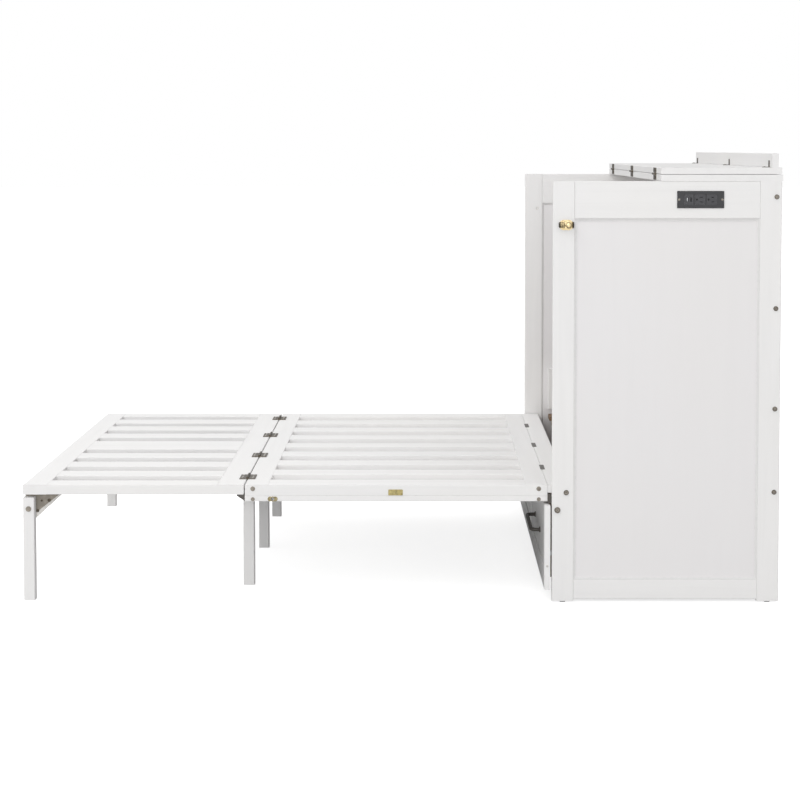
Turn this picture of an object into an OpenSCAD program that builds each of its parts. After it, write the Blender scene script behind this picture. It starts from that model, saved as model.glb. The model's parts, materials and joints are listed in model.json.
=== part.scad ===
// Cabinet bed: a low chest whose front swings down as the middle of the bed, with a foot section that folds
// out, folding legs, a lid that folds back, a drawer under the deck and a power outlet in one side.
// +X points from the foot of the bed to the back of the chest, +Z is up, and the floor is z = 0.

/* [Overall] */
// Length of the open bed, from the foot end to the back edge of the top
bed_l = 2087; // [1980:1:2200]
// Width of the chest over its side frames
chest_w = 1600; // [1450:10:1800]
// Height of the side frames
side_h = 1160; // [1158:1:1200]
// Depth of the side frames
side_d = 624.5; // [620:0.5:640]

/* [Side frames] */
// Thickness of stiles and rails
frame_t = 18; // [16:1:20]
// Width of the stiles
stile_w = 60; // [50:1:70]
// Height of the top rail
top_rail_h = 102; // [90:1:120]
// Height of the bottom rail
bottom_rail_h = 55; // [45:1:70]
// Thickness of the inset panel
inset_t = 9; // [6:1:10]
// Height of the glides under the stiles
glide_h = 3; // [2:0.5:5]

/* [Top and lid] */
// Thickness of the top board, the lid and its lip
top_t = 18; // [16:1:20]
// Depth of the fixed top board
top_d = 332.5; // [320:0.5:345]
// Height of the lid's lip
lip_h = 38.8; // [30:0.1:45]
// Overhang of the lid past the outer face of its lip
lid_overhang = 10; // [0:1:15]

/* [Bed deck] */
// Height of the sleeping deck above the floor
deck_z = 322; // [316:1:330]
// Room between the deck's edge and a side frame
side_gap = 7; // [6:0.5:9]
// Thickness of the middle section's frame boards
mid_t = 30; // [26:1:34]
// Thickness of the front panel under the middle section
front_t = 16; // [12:1:18]
// Thickness of the foot section's frame boards
foot_t = 27; // [20:1:28]
// Thickness of the slats
slat_t = 18; // [12:1:20]
// Length of the folding foot section
foot_l = 610.25; // [560:0.25:640]
// Crack between the foot section and the middle section
crack = 3; // [2:0.5:4]

/* [Slat layout] */
// Width of the middle section's side rails
mid_rail_w = 93; // [80:1:110]
// Slats across the middle section
mid_slats_n = 7; // [5:1:9]
// Width of a slat in the middle section
mid_slat_w = 92; // [70:1:100]
// Width of the foot section's side rails
foot_rail_w = 80; // [70:1:100]
// Width of a slat in the foot section
foot_slat_w = 95; // [70:1:100]
// Gap between two slats in the foot section
foot_gap = 80; // [60:1:90]

/* [Legs] */
// Width of a square leg
leg_w = 31; // [28:1:34]
// Height of the foot leg's pivot
foot_pivot_z = 255; // [250:1:260]
// Height of the middle leg's pivot
mid_pivot_z = 256; // [252:1:258]
// Distance of the outer middle legs from the centre line
mid_leg_y = 558; // [500:1:600]

/* [Pivot and latch] */
// X of the bed's pivot bolts
pivot_x = 431.5; // [430:0.5:433]
// Height of the bed's pivot bolts
pivot_z = 255.8; // [255:0.1:256.5]
// Radius of the pivot bolt
pivot_r = 6; // [5:0.5:7]
// X of the stop bolts
stop_x = 455.7; // [455:0.1:456.5]
// Height of the stop bolts
stop_z = 304.4; // [304:0.1:305]
// Distance of the strike from the bed's pivot, along the bed
strike_reach = 784.9; // [700:0.1:800]
// Travel of a latch pin
latch_travel = 14; // [10:1:16]

/* [Drawer] */
// Thickness of the drawer front
drawer_front_t = 16.5; // [16:0.5:20]
// Depth of the drawer box
drawer_d = 540; // [400:10:560]

/* [Power outlet] */
// Width of the outlet plate
outlet_w = 128; // [115:1:140]
// Height of the outlet plate
outlet_h = 47; // [40:1:55]

/* [Hidden] */

$fn = 48;
EPS = 0.01;
PAINT = [0.90, 0.90, 0.90];
INSET = [0.87, 0.86, 0.87];
STEEL = [0.25, 0.24, 0.23];
BOLT = [0.42, 0.41, 0.40];
BRASS = [0.72, 0.56, 0.28];
BRONZE = [0.24, 0.20, 0.15];
BLACK = [0.16, 0.16, 0.17];
PLY = [0.62, 0.48, 0.34];

// Corner chamfer of a board
edge = 1.2;
// Least room between two pieces that move apart
near_fit = 0.5;
run_fit = 0.05;
// Room round a fastener in its hole
hole_fit = 0.1;

half_w = chest_w / 2;
inner_y = half_w - frame_t;
// Inner face of the inset panels
inset_y = half_w - (frame_t + inset_t) / 2;
bed_y = inner_y - side_gap;

back_x = bed_l / 2;
foot_x = -bed_l / 2;
side_x1 = back_x - 2.5;
side_x0 = side_x1 - side_d;
rail_x0 = side_x0 + stile_w;
rail_x1 = side_x1 - stile_w;
top_rail_z = side_h - top_rail_h;
bottom_rail_z = 8;
inset_z0 = bottom_rail_z + bottom_rail_h;

// Fixed top, lid and the lid's hinge line
top_z = side_h + top_t;
top_x0 = back_x - top_d;
lid_lift = 1.2;
lip_x = side_x1 - lid_overhang - top_t;
lid_z0 = top_z + lid_lift;
lid_z1 = lid_z0 + top_t;
lid_hinge_r = 3;
lid_hinge_x = top_x0 - lid_hinge_r;
lid_hinge_z = top_z + 0.8;
lid_hinge_t = 1.5;
lid_hinge_l = 64;
lid_hinge_y = [-0.81 * half_w, 0, 0.81 * half_w];
lid_bracket_y = [-0.94 * half_w, 0, 0.94 * half_w];

// Middle section
mid_x0 = foot_x + foot_l + crack;
mid_x1 = side_x0 - 10.9;
mid_z0 = deck_z - mid_t;
front_z0 = mid_z0 - front_t;
mid_foot_w = 65;
mid_head_w = 60;
// Height of the bolt heads on the middle section's edges
mid_head_h = 2;
slat_x0 = mid_x0 + mid_foot_w;
slat_x1 = mid_x1 - mid_head_w;
mid_gap = (2 * bed_y - 2 * mid_rail_w - mid_slats_n * mid_slat_w) / (mid_slats_n + 1);

// Board that bridges from the middle section to the fixed deck
bridge_x0 = mid_x1 + 0.6;
bridge_x1 = mid_x1 + 57.4;
bridge_t = 22;

// Foot section
fold_x = foot_x + foot_l + crack / 2;
fold_r = 3.5;
fold_z = deck_z + fold_r;
fold_t = 2;
fold_leaf_w = 22;
fold_leaf_l = 76;
fold_hinge_y = [-640, -220, 220, 640];
foot_x1 = foot_x + foot_l;
foot_z0 = deck_z - foot_t;
foot_end_w = 66;
foot_hinge_w = 74;
foot_slat_x0 = foot_x + foot_end_w;
foot_slat_x1 = foot_x1 - foot_hinge_w;
foot_side_slats = 3;

// Fixed deck inside the chest
deck_x0 = pivot_x + deck_z - pivot_z + 2 * near_fit;
deck_x1 = side_x1 - 28;
deck_slat_t = 14;
beam_h = 40;
beam_z0 = deck_z - deck_slat_t - beam_h;
ledger_z0 = beam_z0 - 20;
ledger_w = 25;

// Legs
foot_leg_x = foot_x + leg_w / 2;
foot_leg_y = bed_y - leg_w / 2;
foot_leg_top = 286;
mid_leg_x = -436.5;
bolt_r = 5;
plate_t = 3;

// Latches
latch_x = 458.5;
latch_z = pivot_z + strike_reach;
strike_x = pivot_x - strike_reach;
strike_z = pivot_z + latch_x - pivot_x;
pin_r = 4;
barrel_r = 7;
barrel_l = 12;

// Drawer
drawer_x1 = side_x0 - 4;
drawer_x0 = drawer_x1 - drawer_front_t;
drawer_z0 = 34;
drawer_z1 = 269;
box_z0 = 60;
box_z1 = 195;
box_t = 12;
box_y = 750;
runner_z = 130;

// Outlet
outlet_x = 818.8;
outlet_z = 1110;
usb_x = outlet_x - 33;
socket_x = [outlet_x - 2, outlet_x + 30];

// ---------------------------------------------------------------- shapes

module cut_corners(a0, a1, b0, b1, c) {
    polygon([
        [a0 + c, b0], [a1 - c, b0], [a1, b0 + c], [a1, b1 - c],
        [a1 - c, b1], [a0 + c, b1], [a0, b1 - c], [a0, b0 + c]
    ]);
}

// Boards that run along X, Y or Z, given by their two extents in each direction
module board_x(x, y, z, c = edge) {
    translate([x[0], 0, 0]) rotate([90, 0, 90])
        linear_extrude(x[1] - x[0]) cut_corners(y[0], y[1], z[0], z[1], c);
}

module board_y(x, y, z, c = edge) {
    translate([0, y[1], 0]) rotate([90, 0, 0])
        linear_extrude(y[1] - y[0]) cut_corners(x[0], x[1], z[0], z[1], c);
}

module board_z(x, y, z, c = edge) {
    translate([0, 0, z[0]])
        linear_extrude(z[1] - z[0]) cut_corners(x[0], x[1], y[0], y[1], c);
}

// A plain box by extents
module block(x, y, z) {
    translate([x[0], y[0], z[0]]) cube([x[1] - x[0], y[1] - y[0], z[1] - z[0]]);
}

// A cylinder along Y, from y0 to y1
module rod_y(x, z, y0, y1, r) {
    translate([x, y1, z]) rotate([90, 0, 0]) cylinder(h = y1 - y0, r = r);
}

// A plate in the XZ plane, from y0 to y1
module plate_y(points, y0, y1) {
    translate([0, y1, 0]) rotate([90, 0, 0]) linear_extrude(y1 - y0) polygon(points);
}

module both_sides() {
    children();
    mirror([0, 1, 0]) children();
}

// Round-headed bolt along Y with a hexagon socket; the head is outside y_face, which faces -Y
module bolt_y(x, z, y_face, len, r, head_r, head_h) {
    difference() {
        union() {
            rod_y(x, z, y_face, y_face + len, r);
            rod_y(x, z, y_face - head_h * 0.6, y_face, head_r);
            rod_y(x, z, y_face - head_h, y_face - head_h * 0.6 + EPS, head_r * 0.8);
        }
        translate([x, y_face - head_h * 0.35, z]) rotate([90, 0, 0])
            cylinder(h = head_h, r = r * 0.6, $fn = 6);
    }
}

// ---------------------------------------------------------------- side frames

side_bolt_x = side_x1 - 14.1;
side_bolt_z = [1117.3, 811.8, 535.7, 305.8];

// Stiles of the side at -Y
module side_stiles() {
    difference() {
        union() {
            board_z([side_x0, rail_x0], [-half_w, -inner_y], [glide_h, side_h], 1.8);
            board_z([rail_x1, side_x1], [-half_w, -inner_y], [glide_h, side_h], 1.8);
        }
        rod_y(pivot_x, pivot_z, -half_w - 1, -inner_y + 1, pivot_r + hole_fit);
        rod_y(stop_x, stop_z, -half_w - 1, -inner_y + 1, bolt_r + hole_fit);
        rod_y(latch_x, latch_z, -half_w - 1, -half_w + barrel_l, barrel_r + hole_fit);
        rod_y(latch_x, latch_z, -half_w, -inner_y + 1, pin_r + near_fit);
        for (z = side_bolt_z) rod_y(side_bolt_x, z, -half_w - 1, -inner_y + 1, 3 + hole_fit);
    }
}

module side_rails() {
    board_x([rail_x0, rail_x1], [-half_w, -inner_y], [bottom_rail_z, inset_z0], 1.8);
    difference() {
        board_x([rail_x0, rail_x1], [-half_w, -inner_y], [top_rail_z, side_h], 1.8);
        children();
    }
}

// Inset panel with a raised bead all round, set back from the frame's outer face
module side_inset() {
    mid_y = -half_w + frame_t / 2;
    difference() {
        union() {
            block([rail_x0, rail_x1], [mid_y - inset_t / 2, mid_y + inset_t / 2], [inset_z0, top_rail_z]);
            block([rail_x0, rail_x1], [mid_y - inset_t / 2 - 2.5, mid_y], [inset_z0, top_rail_z]);
        }
        block([rail_x0 + 6, rail_x1 - 6], [-half_w, mid_y - inset_t / 2], [inset_z0 + 6, top_rail_z - 6]);
    }
}

module right_side_stiles() { color(PAINT) side_stiles(); }
module left_side_stiles() { color(PAINT) mirror([0, 1, 0]) side_stiles(); }

module right_side_rails() {
    color(PAINT) side_rails() {
        block([outlet_x - 56, outlet_x + 56], [-half_w - 1, -inner_y + 1], [outlet_z - 19, outlet_z + 19]);
    }
}

module left_side_rails() { color(PAINT) mirror([0, 1, 0]) side_rails(); }
module right_side_panel() { color(INSET) side_inset(); }
module left_side_panel() { color(INSET) mirror([0, 1, 0]) side_inset(); }

module glides() {
    color(BLACK) both_sides() for (x = [side_x0 + stile_w / 2, side_x1 - stile_w / 2]) {
        translate([x, -half_w + frame_t / 2, 0]) cylinder(h = glide_h, r = 8);
    }
}

// ---------------------------------------------------------------- chest body

back_t = 6;
back_rail_t = 20;
anchor_y = 600;
anchor_z = 1110;
anchor_r = 3.5;

module anchor_holes() {
    for (y = [-anchor_y, anchor_y]) {
        translate([side_x1 - 40, y, anchor_z]) rotate([0, 90, 0]) cylinder(h = 60, r = anchor_r);
    }
}

module back_panel() {
    color(PAINT) difference() {
        block([side_x1 - back_t, side_x1], [-inner_y, inner_y], [bottom_rail_z, side_h]);
        anchor_holes();
    }
}

module back_rails() {
    x = [side_x1 - back_t - back_rail_t, side_x1 - back_t];
    color(PAINT) {
        board_y(x, [-inner_y, inner_y], [bottom_rail_z, bottom_rail_z + 80]);
        difference() {
            board_y(x, [-inner_y, inner_y], [side_h - 100, side_h]);
            anchor_holes();
        }
    }
}

module rear_top() {
    color(PAINT) board_y([top_x0, back_x], [-half_w, half_w], [side_h, top_z]);
}

beam_x = [[520, 560], [750, 780], [deck_x1 - 30, deck_x1]];

module deck_beams() {
    color(PLY) for (x = beam_x) board_y(x, [-inner_y, inner_y], [beam_z0, beam_z0 + beam_h]);
}

module deck_ledgers() {
    color(PLY) both_sides() {
        board_x([beam_x[0][0], rail_x1], [-inset_y, -inner_y + ledger_w], [ledger_z0, beam_z0]);
    }
}

// Slats of a deck that is bed_y wide on each side, between x[0] and x[1]
module even_slats(x, t) {
    for (i = [0 : mid_slats_n - 1]) {
        y = -bed_y + mid_rail_w + mid_gap + i * (mid_slat_w + mid_gap);
        board_x(x, [y, y + mid_slat_w], [deck_z - t, deck_z]);
    }
}

module deck_slats() {
    color(PLY) {
        even_slats([deck_x0, deck_x1], deck_slat_t);
        both_sides() board_x([deck_x0, deck_x1], [-bed_y, -bed_y + mid_rail_w], [deck_z - deck_slat_t, deck_z]);
    }
}

// Cleats that the raised middle section leans against
module closing_stops() {
    x = pivot_x + deck_z - pivot_z + near_fit;
    color(PAINT) both_sides() board_z([x, x + 18], [-inset_y, -inner_y + 22], [340, 480]);
}

runner_y = box_y + 7;

module drawer_runners() {
    color(STEEL) both_sides() difference() {
        block([drawer_x1 + 18, rail_x1 + 20], [-inner_y, -runner_y], [runner_z - 22, runner_z + 22]);
        block([drawer_x1 + 17, rail_x1 + 21], [-runner_y - 13, -runner_y + 1], [runner_z - 7, runner_z + 7]);
    }
}

// ---------------------------------------------------------------- power outlet

module socket_holes(x) {
    // ground hole, then the two blades' slots
    translate([x - 9, 0, outlet_z]) rotate([90, 0, 0]) cylinder(h = 20, r = 2.6, center = true);
    for (z = [-6.3, 6.3]) {
        block([x - 1, x + 7], [-10, 10], [outlet_z + z - 1, outlet_z + z + 1]);
    }
}

module outlet_plate() {
    x = [outlet_x - outlet_w / 2, outlet_x + outlet_w / 2];
    z = [outlet_z - outlet_h / 2, outlet_z + outlet_h / 2];
    color(BLACK) difference() {
        board_x(x, [-half_w - 3, -half_w], z, 1);
        block([usb_x - 12.5, usb_x + 12.5], [-half_w - 4, -half_w + 1], [outlet_z - 14.2, outlet_z + 14.2]);
        for (sx = socket_x) {
            block([sx - 14.2, sx + 14.2], [-half_w - 4, -half_w + 1], [outlet_z - 14.2, outlet_z + 14.2]);
        }
        for (s = [-1, 1]) rod_y(outlet_x + s * 59, outlet_z, -half_w - 4, -half_w + 1, 1.6);
    }
}

module outlet_sockets() {
    color(BLACK) {
        for (sx = socket_x) difference() {
            board_y([sx - 14, sx + 14], [-half_w - 3.8, -half_w + 24], [outlet_z - 14, outlet_z + 14], 1.5);
            translate([0, -half_w, 0]) socket_holes(sx);
        }
        difference() {
            board_y([usb_x - 12.3, usb_x + 12.3], [-half_w - 3.8, -half_w + 24], [outlet_z - 14, outlet_z + 14], 1.5);
            for (dx = [-6, 4]) {
                block([usb_x + dx, usb_x + dx + 4.4], [-half_w - 5, -half_w + 9], [outlet_z - 6, outlet_z + 6]);
            }
        }
    }
}

// Box behind the sockets, with the gland that a supply lead goes into
module outlet_box() {
    color(BLACK) {
        difference() {
            block([outlet_x - 55, outlet_x + 55], [-half_w, -half_w + 46], [outlet_z - 18, outlet_z + 18]);
            block([outlet_x - 53, outlet_x + 53], [-half_w - 1, -half_w + 44], [outlet_z - 14, outlet_z + 14]);
            rod_y(outlet_x, outlet_z, -half_w + 40, -half_w + 50, 6);
        }
        difference() {
            rod_y(outlet_x, outlet_z, -half_w + 46, -half_w + 60, 10);
            rod_y(outlet_x, outlet_z, -half_w + 45, -half_w + 61, 6);
        }
    }
}

module outlet_screws() {
    color(BOLT) for (s = [-1, 1]) {
        rod_y(outlet_x + s * 59, outlet_z, -half_w - 4, -half_w - 3, 3);
        rod_y(outlet_x + s * 59, outlet_z, -half_w - 3, -half_w, 1.5);
    }
}

// ---------------------------------------------------------------- fixed hardware

module pivot_bolts() {
    color(BOLT) both_sides() {
        bolt_y(pivot_x, pivot_z, -half_w, half_w - bed_y + 10, pivot_r, 8, 5);
        // sleeve and nut on the inside of the pivot bracket
        difference() {
            rod_y(pivot_x, pivot_z, -bed_y + 1.4, -bed_y + 9, 10);
            rod_y(pivot_x, pivot_z, -bed_y + 1, -bed_y + 10, pivot_r - EPS);
        }
    }
}

module stop_bolts() {
    len = half_w - bed_y - mid_head_h - near_fit;
    color(BOLT) both_sides() bolt_y(stop_x, stop_z, -half_w, len, bolt_r, 6.5, 4);
}

module side_bolts() {
    color(BOLT) both_sides() for (z = side_bolt_z) {
        bolt_y(side_bolt_x, z, -half_w, frame_t, 3, 6, 3.5);
    }
}

module latch_flanges() {
    color(BRASS) both_sides() difference() {
        union() {
            for (dx = [-12, -6, 0]) rod_y(latch_x + dx, latch_z, -half_w - 2.5, -half_w, 14);
            rod_y(latch_x, latch_z, -half_w - 6, -half_w, 10);
            rod_y(latch_x, latch_z, -half_w, -half_w + barrel_l, barrel_r);
        }
        rod_y(latch_x, latch_z, -half_w - 7, -half_w + barrel_l + 1, pin_r + run_fit);
    }
}

// Hinge with its barrel along Y at the origin and a leaf that lies r below the axis, out to w on the +X side.
// Knuckles are numbered along Y; "own" lists those that this leaf carries, of n in all.
module hinge_leaf(len, w, t, r, pin, n, own, with_pin) {
    k = len / n;
    union() {
        block([r + 0.6, w], [-len / 2, len / 2], [-r, -r + t]);
        for (i = own) {
            y0 = -len / 2 + i * k + 0.2;
            y1 = y0 + k - 0.4;
            difference() {
                union() {
                    rod_y(0, 0, y0, y1, r);
                    block([0, r + 0.7], [y0, y1], [-r, -r + t]);
                }
                if (!with_pin) rod_y(0, 0, y0 - 1, y1 + 1, pin + run_fit);
            }
        }
        if (with_pin) rod_y(0, 0, -len / 2 + 0.2, len / 2 - 0.2, pin);
    }
}

module lid_hinge_rear_leaves() {
    color(BRONZE) for (y = lid_hinge_y) translate([lid_hinge_x, y, lid_hinge_z]) {
        rotate([0, 90, 0]) mirror([0, 0, 1])
            hinge_leaf(lid_hinge_l, 17, lid_hinge_t, lid_hinge_r, 1.4, 3, [0, 2], true);
    }
}

module lid_hinge_front_leaves() {
    color(BRONZE) for (y = lid_hinge_y) translate([lid_hinge_x, y, lid_hinge_z]) {
        rotate([0, -90, 0])
            hinge_leaf(lid_hinge_l, 17, lid_hinge_t, lid_hinge_r, 1.4, 3, [1], false);
    }
}

// ---------------------------------------------------------------- lid

module lid_board() {
    color(PAINT) board_y([top_x0, side_x1], [-half_w, half_w], [lid_z0, lid_z1]);
}

module lid_lip() {
    color(PAINT) board_y([lip_x, lip_x + top_t], [-half_w, half_w], [lid_z1, lid_z1 + lip_h]);
}

module lid_brackets() {
    color(STEEL) for (y = lid_bracket_y) {
        block([lip_x - 1.8, lip_x], [y - 8, y + 8], [lid_z1, lid_z1 + 19]);
        block([lip_x - 19, lip_x - 1.8], [y - 8, y + 8], [lid_z1, lid_z1 + 1.8]);
    }
}

// ---------------------------------------------------------------- drawer

module drawer_front() {
    color(PAINT) difference() {
        board_y([drawer_x0, drawer_x1], [-half_w, half_w], [drawer_z0, drawer_z1], 1.8);
        for (s = [-1, 1]) {
            y = s > 0 ? [32, half_w - 60] : [60 - half_w, -32];
            block([drawer_x0 - 1, drawer_x0 + 4], y, [drawer_z0 + 55, drawer_z1 - 55]);
        }
    }
}

module drawer_sides() {
    color(PLY) both_sides() {
        block([drawer_x1, drawer_x1 + drawer_d], [-box_y, -box_y + box_t], [box_z0, box_z1]);
    }
}

module drawer_back() {
    color(PLY) block(
        [drawer_x1 + drawer_d - box_t, drawer_x1 + drawer_d],
        [-box_y + box_t, box_y - box_t], [box_z0, box_z1]
    );
}

module drawer_bottom() {
    color(PLY) block(
        [drawer_x1, drawer_x1 + drawer_d - box_t],
        [-box_y + box_t, box_y - box_t], [box_z0, box_z0 + 9]
    );
}

pull_y = 400;
pull_l = 280;
pull_z = 152;

module drawer_pulls() {
    x = drawer_x0 + 4;
    color(STEEL) for (s = [-1, 1]) translate([0, s * pull_y, 0]) {
        rod_y(x - 26, pull_z, -pull_l / 2, pull_l / 2, 6);
        for (y = [-0.4 * pull_l, 0.4 * pull_l]) {
            translate([x - 26, y, pull_z]) rotate([0, 90, 0]) cylinder(h = 26, r = 4.5);
        }
    }
}

module drawer_slides() {
    color(BOLT) both_sides() {
        block([drawer_x1 + 2, drawer_x1 + 500], [-box_y - 18, -box_y], [runner_z - 6, runner_z + 6]);
    }
}

// ---------------------------------------------------------------- middle section

module latch_socket() {
    both_sides() rod_y(strike_x, strike_z, -bed_y - 2, -bed_y + 16, pin_r + 0.6);
}

bolt_x = [mid_x0 + 22, mid_x1 - 24];
bolt_z = [311, 282];

module mid_bolt_holes() {
    both_sides() for (x = bolt_x) for (z = bolt_z) {
        rod_y(x, z, -bed_y - 1, -bed_y + 40, 3 + hole_fit);
    }
}

module mid_side_rails() {
    color(PAINT) both_sides() {
        board_x([slat_x0, slat_x1], [-bed_y, -bed_y + mid_rail_w], [mid_z0, deck_z]);
    }
}

module mid_cross_boards() {
    color(PAINT) difference() {
        union() {
            board_y([mid_x0, slat_x0], [-bed_y, bed_y], [mid_z0, deck_z]);
            board_y([slat_x1, mid_x1], [-bed_y, bed_y], [mid_z0, deck_z]);
        }
        mid_bolt_holes();
    }
}

module mid_slats() { color(PAINT) even_slats([slat_x0, slat_x1], slat_t); }

module front_panel() {
    color(PAINT) difference() {
        board_x([mid_x0, mid_x1], [-bed_y, bed_y], [front_z0, mid_z0]);
        latch_socket();
        mid_bolt_holes();
    }
}

module bridge_board() {
    color(PAINT) difference() {
        board_y([bridge_x0, bridge_x1], [-bed_y, bed_y], [deck_z - bridge_t, deck_z]);
        for (y = bridge_bracket_y) {
            block([bridge_x0 - 1, mid_x1 + 4.6], [y - 40.2, y + 40.2], [deck_z - bridge_t - 1, deck_z + 1]);
        }
    }
}

// Steel bracket that carries the middle section on its pivot bolt: a cheek with an eye and a shoulder that
// comes up under the stop bolt, and a flange in the seam behind the head board
module pivot_brackets() {
    y0 = -bed_y - 5;
    y1 = -bed_y - 1;
    cheek = [
        [mid_x1, front_z0 + 1], [pivot_x - 13, pivot_z + 11], [pivot_x + 13, pivot_z - 11],
        [pivot_x + 34, pivot_z + 30], [pivot_x + 31, pivot_z + 43.1], [pivot_x + 16, pivot_z + 43.1],
        [pivot_x - 6, pivot_z + 41], [mid_x1, mid_z0 + 4]
    ];
    color(STEEL) both_sides() difference() {
        union() {
            plate_y(cheek, y0, y1);
            rod_y(pivot_x, pivot_z, y0, y1, 17);
            block([mid_x1, mid_x1 + 4.6], [y0, -bed_y + 75], [front_z0 + 1, mid_z0 + 4]);
        }
        rod_y(pivot_x, pivot_z, y0 - 1, y1 + 1, pivot_r + run_fit);
    }
}

bridge_bracket_y = [-456, 0, 456];

module bridge_brackets() {
    z = deck_z - bridge_t;
    color(STEEL) for (y = bridge_bracket_y) {
        block([mid_x1, mid_x1 + 4.6], [y - 40, y + 40], [z - 3, deck_z]);
        block([mid_x1 - 4, mid_x1 + 9], [y - 40, y + 40], [deck_z, deck_z + 1.2]);
        block([mid_x1 + 4.6, bridge_x1 - 10], [y - 40, y + 40], [z - 3, z]);
    }
}

module strike_plates() {
    color(BRASS) both_sides() difference() {
        union() for (dx = [-7, 0, 7]) rod_y(strike_x + dx, strike_z, -bed_y - 1.5, -bed_y, 6.7);
        rod_y(strike_x, strike_z, -bed_y - 2, -bed_y + 1, pin_r + 0.6);
    }
}

module side_plates() {
    color(BRASS) both_sides() board_y([-34, 6], [-bed_y - 1.5, -bed_y], [293, 309], 1);
}

module mid_bolts() {
    color(BOLT) both_sides() for (x = bolt_x) for (z = bolt_z) {
        bolt_y(x, z, -bed_y, 38, 3, z > mid_z0 ? 6.5 : 5.5, mid_head_h);
    }
}

module mid_hinge_leaves() {
    color(BRONZE) for (y = fold_hinge_y) translate([fold_x, y, fold_z]) {
        hinge_leaf(fold_leaf_l, fold_leaf_w, fold_t, fold_r, 1.6, 5, [0, 2, 4], true);
    }
}

// Side bracket of a middle leg, on its +Y side, with a flange under the front panel
module mid_leg_bracket(y) {
    face = y + leg_w / 2 + 0.6;
    x = mid_leg_x;
    z = mid_pivot_z;
    top = front_z0;
    color(STEEL) {
        plate_y([
            [x - 11, z - 10], [x + 12, z - 14], [x + 86, top - 6], [x + 86, top],
            [mid_x0 + 1, top], [x - 11, z + 6]
        ], face, face + plate_t);
        block([mid_x0 + 4, x + 86], [face + plate_t, face + plate_t + 24], [top - plate_t, top]);
    }
    color(BOLT) bolt_y(x, z, y - leg_w / 2 - 0.6, leg_w + 6.2, bolt_r, 7.5, 3.5);
}

module mid_leg_brackets() {
    for (y = [-mid_leg_y, 0, mid_leg_y]) mid_leg_bracket(y);
}

rest_y = [-745, -225, 225, 745];

// Wedge blocks on the end of the middle section that carry the foot section's hinge edge
module fold_rests() {
    color(STEEL) for (y = rest_y) {
        plate_y([
            [mid_x0, front_z0 + 1], [mid_x0, foot_z0 - 0.4],
            [mid_x0 - 22, foot_z0 - 0.4], [mid_x0 - 22, foot_z0 - 3.4]
        ], y - 30, y + 30);
    }
}

// ---------------------------------------------------------------- foot section

module foot_cross_boards() {
    color(PAINT) {
        board_y([foot_x, foot_slat_x0], [-bed_y, bed_y], [foot_z0, deck_z]);
        board_y([foot_slat_x1, foot_x1], [-bed_y, bed_y], [foot_z0, deck_z]);
    }
}

module foot_side_rails() {
    color(PAINT) both_sides() {
        board_x([foot_slat_x0, foot_slat_x1], [-bed_y, -bed_y + foot_rail_w], [foot_z0, deck_z]);
    }
}

// Three slats on each side of one wide centre slat
module foot_slats() {
    x = [foot_slat_x0, foot_slat_x1];
    z = [deck_z - slat_t, deck_z];
    pitch = foot_slat_w + foot_gap;
    centre_y = bed_y - foot_rail_w - foot_gap - foot_side_slats * pitch;
    color(PAINT) {
        board_x(x, [-centre_y, centre_y], z);
        both_sides() for (i = [0 : foot_side_slats - 1]) {
            y = -bed_y + foot_rail_w + foot_gap + i * pitch;
            board_x(x, [y, y + foot_slat_w], z);
        }
    }
}

module foot_hinge_leaves() {
    color(BRONZE) for (y = fold_hinge_y) translate([fold_x, y, fold_z]) mirror([1, 0, 0]) {
        hinge_leaf(fold_leaf_l, fold_leaf_w, fold_t, fold_r, 1.6, 5, [1, 3], false);
    }
}

// Gusset bracket of the foot leg at -Y, on the leg's inner side, with its bolt
module foot_leg_bracket() {
    face = -bed_y + leg_w + 0.6;
    x = foot_leg_x;
    z = foot_pivot_z;
    color(STEEL) {
        plate_y([
            [x - 14, foot_z0], [x - 14, z - 6], [x - 7, z - 14], [x + 9, z - 30], [x + 16, z - 30],
            [x + 89, foot_z0 - 2], [x + 89, foot_z0]
        ], face, face + plate_t);
        plate_y([[x + 12, z - 29], [x + 16, z - 30], [x + 89, foot_z0 - 3], [x + 85, foot_z0 - 3]],
            face + plate_t, face + plate_t + 12);
        block([x - 14, x + 89], [face + plate_t, face + plate_t + 28], [foot_z0 - plate_t, foot_z0]);
    }
    color(BOLT) bolt_y(x, z, -bed_y - 0.6, leg_w + 6.2, bolt_r, 7.5, 3);
}

module foot_leg_brackets() { both_sides() foot_leg_bracket(); }

// ---------------------------------------------------------------- legs

module foot_leg() {
    color(PAINT) difference() {
        board_z([foot_x, foot_x + leg_w], [-bed_y, -bed_y + leg_w], [0, foot_leg_top], 2);
        rod_y(foot_leg_x, foot_pivot_z, -bed_y - 1, -bed_y + leg_w + 1, bolt_r + run_fit);
    }
}

module mid_leg(y) {
    color(PAINT) difference() {
        union() {
            board_z([mid_leg_x - leg_w / 2, mid_leg_x + leg_w / 2],
                [y - leg_w / 2, y + leg_w / 2], [0, mid_pivot_z], 2);
            rod_y(mid_leg_x, mid_pivot_z, y - leg_w / 2, y + leg_w / 2, leg_w / 2);
        }
        rod_y(mid_leg_x, mid_pivot_z, y - leg_w / 2 - 1, y + leg_w / 2 + 1, bolt_r + run_fit);
    }
}

module foot_leg_right() { foot_leg(); }
module foot_leg_left() { mirror([0, 1, 0]) foot_leg(); }
module mid_leg_right() { mid_leg(-mid_leg_y); }
module mid_leg_centre() { mid_leg(0); }
module mid_leg_left() { mid_leg(mid_leg_y); }

// ---------------------------------------------------------------- latch pins

// Pin of the latch at -Y, drawn out, with a turned knob
module latch_pin() {
    knob = -half_w - 6 - latch_travel - near_fit;
    color(BRASS) {
        rod_y(latch_x, latch_z, knob - 1, -inner_y - near_fit, pin_r);
        rod_y(latch_x, latch_z, knob - 2.5, knob, 6.5);
        rod_y(latch_x, latch_z, knob - 8.5, knob - 2.5, 8.5);
    }
}

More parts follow.
